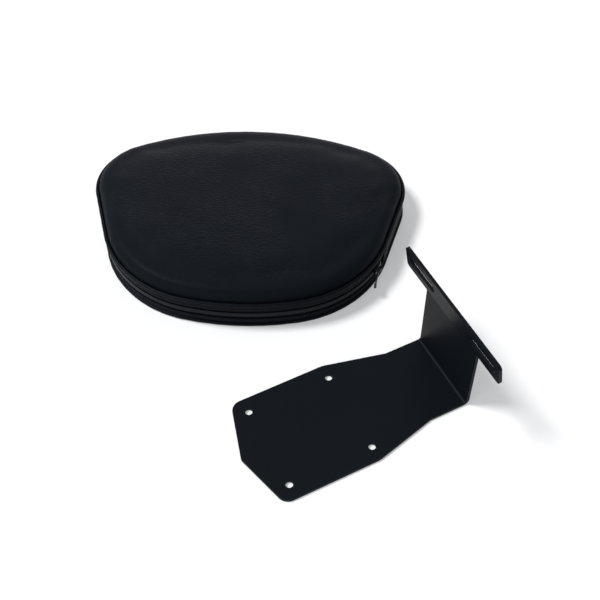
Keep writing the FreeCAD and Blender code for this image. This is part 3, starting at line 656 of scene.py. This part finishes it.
def blockOut():
    form = faceForm
    bpy.ops.object.select_all(action="DESELECT")
    radius = cushion["height"] / 2  # the circle's points are then moved to the seam
    bpy.ops.mesh.primitive_circle_add(vertices=form["rimPoints"], radius=radius, fill_type="NGON")
    face = bpy.context.object
    face.name = "cushionFace"
    run = np.arange(form["rimPoints"]) * perimeter / form["rimPoints"]
    rim = toFloor(onEdge(run, cushion["bandInset"] - form["rimInset"]))
    height = np.full((form["rimPoints"], 1), cushion["frontSeam"] - form["rimLow"])
    writePoints(face, np.concatenate([rim, height], axis=1))
    bpy.ops.object.mode_set(mode="EDIT")
    bpy.ops.mesh.select_all(action="SELECT")
    rise = form["rimLow"] + form["wall"]
    bpy.ops.mesh.extrude_region_move(TRANSFORM_OT_translate={"value": (0, 0, rise)})
    angles = np.linspace(0, math.pi / 2, form["rollSteps"] + 1)
    rollIn = form["rollWide"] * np.diff(1 - np.cos(angles))
    rollUp = form["rollHigh"] * np.diff(np.sin(angles))
    for inward, up in [*zip(rollIn, rollUp), *form["crown"]]:
        bpy.ops.mesh.inset(thickness=float(inward), depth=float(up))
    bpy.ops.mesh.select_all(action="SELECT")
    bpy.ops.mesh.normals_make_consistent(inside=False)
    bpy.ops.object.mode_set(mode="OBJECT")
    return face


def evenOut(face, moves):  # each move is drawn towards its neighbours', so that no lumps are left
    ends = np.empty(len(face.data.edges) * 2, dtype=np.int32)
    face.data.edges.foreach_get("vertices", ends)
    first, second = ends.reshape(-1, 2).T
    neighbours = np.bincount(ends, minlength=len(moves))[:, None]
    for _ in range(faceForm["evenSteps"]):
        around = np.zeros_like(moves)
        np.add.at(around, first, moves[second])
        np.add.at(around, second, moves[first])
        moves = (moves + around / neighbours) / 2
    return moves


def swell(face):
    form = faceForm
    scene = bpy.context.scene
    rest = readPoints(face)
    held = face.vertex_groups.new(name="sewnDown")
    low = cushion["frontSeam"] + form["pinnedBelow"]
    held.add([int(k) for k in np.flatnonzero(rest[:, 2] < low)], 1.0, "REPLACE")
    cloth = face.modifiers.new("cloth", "CLOTH")
    for name, value in clothForm.items():
        setattr(cloth.settings, name, value)
    cloth.settings.effector_weights.gravity = 0
    cloth.settings.vertex_group_mass = held.name
    cloth.point_cache.frame_start = 1
    cloth.point_cache.frame_end = form["frames"]
    for count in range(1, form["frames"] + 1):
        scene.frame_set(count)
    pick(face)
    bpy.ops.object.modifier_apply(modifier=cloth.name)
    scene.frame_set(1)
    moves = readPoints(face) - rest
    length = np.linalg.norm(moves, axis=1, keepdims=True)
    limit = form["largestMove"]
    eased = moves * limit * np.tanh(length / limit) / np.maximum(length, form["stillBelow"])
    writePoints(face, rest + evenOut(face, eased))
    print("face swollen, largest move", round(float(length.max()) / millimetre, 2), "mm")


def gatherFace(face, distance, run):  # small puckers at the seam and shallow hollows inside it
    form = faceForm
    places = readPoints(face)
    normals = np.empty(len(places) * 3)
    face.data.vertices.foreach_get("normal", normals)
    upper = places[:, 2] > cushion["frontSeam"] + form["sewnRim"]
    fade = np.exp(-distance / form["puckerReach"])
    gathers = waver(run, form["puckerPitch"], form["puckerSeed"]) * fade * form["puckerDepth"]
    x, y = toCushion(places).T
    across = np.sin(x * form["hollowAcross"] + form["hollowBow"] * np.sin(y * form["bowUp"]))
    hollows = across * np.sin(y * form["hollowUp"] + form["hollowStart"])
    gathers += hollows * form["hollowDepth"] * (1 - np.exp(-distance / form["hollowReach"]))
    writePoints(face, places + normals.reshape(-1, 3) * (gathers * upper)[:, None])


def makeFace(material):
    form = faceForm
    face = blockOut()
    applyModifier(face, "REMESH", mode="VOXEL", voxel_size=form["voxel"])
    swell(face)
    applyModifier(face, "SMOOTH", factor=form["smoothing"], iterations=form["firstSmooth"])
    applyModifier(face, "SHRINKWRAP", target=nodes["foam_core"], wrap_mode="OUTSIDE",
                  offset=form["overFoam"])
    applyModifier(face, "SUBSURF", levels=1, render_levels=1)
    applyModifier(face, "SMOOTH", factor=form["smoothing"], iterations=form["lastSmooth"])
    distance, run = fromSeam(readPoints(face))
    gatherFace(face, distance, run)
    keepValue(face, "fromSeam", distance)
    bpy.ops.object.shade_smooth()
    fitPiece(face, material, "vinyl", "front_panel")
    top = float(readPoints(face)[:, 2].max()) / millimetre
    print("face made,", len(face.data.polygons), "faces, top at", round(top, 1), "mm")


# cushion sides: bands, piping, tabs and stitches

bandForm = {
    "low": 0.0035, "high": 0.0305, "along": 420, "bandRows": 16, "stripRows": 8,
    "bulge": 0.0009, "tuck": 0.0007, "hemRise": 0.0004, "hemWidth": 0.0016,
    "puckerPitch": 0.0125, "puckerDepth": 0.0002, "puckerReach": 0.004, "puckerSeed": 1.9,
}


def shapeBand(band, low, high, hem):
    form = bandForm
    places = readPoints(band)
    run, height = places[:, 0], places[:, 2]
    part = (height - (low + high) / 2) / ((high - low) / 2)  # -1 at the lower edge, 1 at the upper
    share = (high - low) / (form["high"] - form["low"])
    out = form["bulge"] * share * (1 - part ** 2) - form["tuck"] * share * part ** 2
    toSeam = np.minimum(np.abs(height - form["low"]), np.abs(height - form["high"]))
    puckers = waver(run, form["puckerPitch"], form["puckerSeed"]) * form["puckerDepth"]
    out += puckers * np.exp(-toSeam / form["puckerReach"])
    if hem is not None:
        out += form["hemRise"] * np.exp(-((height - hem) / form["hemWidth"]) ** 2)
    places[:, 1] += out
    writePoints(band, places)


def makeBand(name, node, material, first, last, low, high, rows, hem=None):
    band = addStrip(name, first, last, low, high, bandForm["along"], rows)
    shapeBand(band, low, high, hem)
    applyModifier(band, "SOLIDIFY", thickness=cushion["coverThickness"], offset=-1.0)
    wrapRound(band)
    fitPiece(band, material, "vinyl", node)


pipingForm = {
    "along": 760, "around": 14, "uneven": 0.05, "pitch": 0.017, "flatness": 0.97,
    "frontSeed": 0.4, "backSeed": 2.2,
}


def makePiping(name, node, material, height, seed):
    form = pipingForm
    radius = cushion["pipingRadius"]
    piping = addStrip(name, 0.0, perimeter, 0.0, 2 * math.pi * radius, form["along"], form["around"])
    places = readPoints(piping)
    run, turn = places[:, 0], places[:, 2] / radius
    wholePitch = perimeter / round(perimeter / form["pitch"])
    fade = np.sin(math.pi * run / perimeter)  # even where the two ends meet
    wide = radius * (1 + form["uneven"] * waver(run % perimeter, wholePitch, seed) * fade)
    places[:, 1] = -wide * np.cos(turn)
    places[:, 2] = height + wide * np.sin(turn) * form["flatness"]
    writePoints(piping, places)
    wrapRound(piping)
    fitPiece(piping, material, "piping_vinyl", node)


stitchForm = {
    "length": 0.0026, "gap": 0.0009, "thick": 0.00055, "flatness": 0.8, "fromHem": 0.0021, "lift": 0.0004,
    "sides": 6, "rings": 4,
}


def makeStitches(name, material, rows):
    # one stitch is modelled for each row (first, last, height, out) and repeated along it
    form = stitchForm
    pitch = form["length"] + form["gap"]
    made = []
    for first, last, height, out in rows:
        bpy.ops.object.select_all(action="DESELECT")
        place = (first + form["length"] / 2, out, height)
        bpy.ops.mesh.primitive_uv_sphere_add(segments=form["sides"], ring_count=form["rings"], radius=0.5,
                                             rotation=(0, math.pi / 2, 0), location=place)
        stitch = bpy.context.object  # 1 m across, so that its scale is its size
        stitch.scale = (form["thick"], form["thick"] * form["flatness"], form["length"])
        bpy.ops.object.transform_apply(location=True, rotation=True, scale=True)
        applyModifier(stitch, "ARRAY", count=int((last - first) / pitch), use_relative_offset=False,
                      use_constant_offset=True, constant_offset_displace=(pitch, 0, 0))
        made.append(stitch)
    pick(made[0])
    for stitch in made:
        stitch.select_set(True)
    bpy.ops.object.join()
    stitches = bpy.context.object
    stitches.name = name
    wrapRound(stitches)
    fitPiece(stitches, material, "vinyl")


tabForm = {
    "length": 0.016, "height": 0.016, "out": 0.0012, "thickness": 0.00096, "cells": 24,
    "rimOut": 0.0004, "soft": 0.00088, "wrinkle": 0.0002, "wrinkleAlong": 900, "wrinkleUp": 700,
}


def makeTab(name, node, material, run):
    form = tabForm
    middle = cushion["zipHeight"]
    reach, rise = form["length"] / 2, form["height"] / 2
    tab = addStrip(name, run - reach, run + reach, middle - rise, middle + rise,
                   form["cells"], form["cells"])
    places = readPoints(tab)
    along, up = places[:, 0], places[:, 2]
    rim = np.minimum(reach - np.abs(along - run), rise - np.abs(up - middle))
    wrinkles = np.sin(along * form["wrinkleAlong"]) * np.cos(up * form["wrinkleUp"])
    places[:, 1] += form["out"] * (1 - np.exp(-(rim + form["rimOut"]) / form["soft"]))
    places[:, 1] += form["wrinkle"] * wrinkles
    writePoints(tab, places)
    applyModifier(tab, "SOLIDIFY", thickness=form["thickness"], offset=-1.0)
    wrapRound(tab)
    fitPiece(tab, material, "vinyl", node)


def makeSides(vinyl, piping, thread):
    middle = cushion["zipHeight"]
    zipLow = middle - cushion["zipOpening"] / 2
    zipHigh = middle + cushion["zipOpening"] / 2
    low, high = bandForm["low"], bandForm["high"]
    bandRows, stripRows = bandForm["bandRows"], bandForm["stripRows"]
    makeBand("shoulderBand", "upper_band", vinyl, zipRight, perimeter + zipLeft, low, high, bandRows)
    makeBand("zipFrontStrip", "band_front_strip", vinyl, zipLeft, zipRight, zipHigh, high,
             stripRows, zipHigh)
    makeBand("zipBackStrip", "band_back_strip", vinyl, zipLeft, zipRight, low, zipLow,
             stripRows, zipLow)
    makePiping("frontPiping", "front_piping", piping, cushion["frontSeam"], pipingForm["frontSeed"])
    makePiping("backPiping", "back_piping", piping, cushion["pipingRadius"], pipingForm["backSeed"])
    makeTab("leftZipTab", "zip_tab_left", vinyl, zipLeft)
    makeTab("rightZipTab", "zip_tab_right", vinyl, zipRight)
    # stitches along both hems of the zip, and along both edges of each tab
    aside = stitchForm["fromHem"]
    clear = tabForm["length"] / 2
    onTab = clear - aside
    rows = [(zipLeft + clear, zipRight - clear, height, stitchForm["lift"])
            for height in (zipHigh + aside, zipLow - aside)]
    rows += [(run - onTab, run + onTab, middle + side * onTab, tabForm["out"])
             for run in (zipLeft, zipRight) for side in (-1, 1)]
    makeStitches("zipStitches", thread, rows)
    print("sides made")


def finishNodes(finishes):  # CAD pieces that keep their own shape
    for finish, names in finishes:
        for name in names:
            nodes[name].data.materials.clear()
            nodes[name].data.materials.append(finish)


setCamera()
layFloor()
setSky()
setLamps()
print("studio set")
bandVinyl = vinylFinish("bandVinyl", False)
makeBracket(powderFinish())
makeFace(vinylFinish("creasedVinyl", True))
makeSides(bandVinyl, pipingFinish(), threadFinish())
finishNodes([
    (bandVinyl, ["back_panel"]),
    (zipTapeFinish(), ["zip_stringer_front", "zip_stringer_back"]),
    (enamelFinish(), ["zip_stop_left", "zip_stop_right", "zip_slider", "zip_pull"]),
    (foamFinish(), ["foam_core"]),
    (plywoodFinish(), ["backing_board"]),
    (zincFinish(), ["tee_nut_left", "tee_nut_right"]),
])
print("finishes set")
